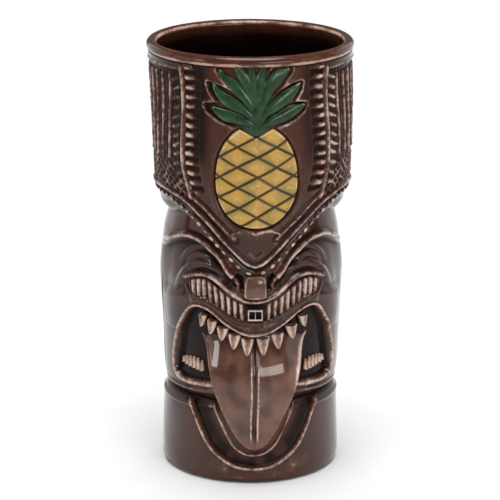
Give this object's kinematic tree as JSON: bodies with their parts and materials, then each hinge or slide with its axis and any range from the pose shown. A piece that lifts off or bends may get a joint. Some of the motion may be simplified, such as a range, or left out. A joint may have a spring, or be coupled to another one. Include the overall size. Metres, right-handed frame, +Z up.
{
  "type": "tiki mug",
  "caption": "Tall glazed stoneware tiki mug with a carved grimacing face, a long hanging tongue and a drum headdress bearing a pineapple",
  "frame": {"origin": "the centre of the foot ring, where the mug's axis meets the table", "axes": "+Z up along the mug's axis, -Y out through the middle of the face, +X to the viewer's right when looking at the face"},
  "size_m": [0.08, 0.08, 0.17],
  "materials": {
    "brown_glaze": "glossy dark brown glaze pooled in the hollows",
    "worn_glaze": "glossy glaze that breaks to pinkish tan on the raised lines",
    "yellow_glaze": "glossy ochre yellow glaze with olive patches",
    "green_glaze": "glossy deep green glaze",
    "tooth_glaze": "glossy tan glaze over pale clay",
    "tongue_glaze": "very glossy smooth brown glaze"
  },
  "bodies": {
    "root": {"cup": "brown_glaze", "headdress": "brown_glaze", "headband_rail": "worn_glaze", "headband_beads": "worn_glaze", "panel_rails": "worn_glaze", "panel_combs": "worn_glaze", "panel_reeds": "brown_glaze", "woven_band": "brown_glaze", "pineapple_fruit": "yellow_glaze", "pineapple_crown": "green_glaze", "brow_ridges": "worn_glaze", "eyes": "brown_glaze", "nose": "brown_glaze", "upper_lip": "worn_glaze", "moustache_ribs": "worn_glaze", "nose_plug": "brown_glaze", "mouth_rim": "worn_glaze", "upper_teeth": "tooth_glaze", "side_teeth": "tooth_glaze", "lower_lip": "brown_glaze", "tongue": "tongue_glaze", "chin_panel": "worn_glaze"}
  },
  "joints": []
}
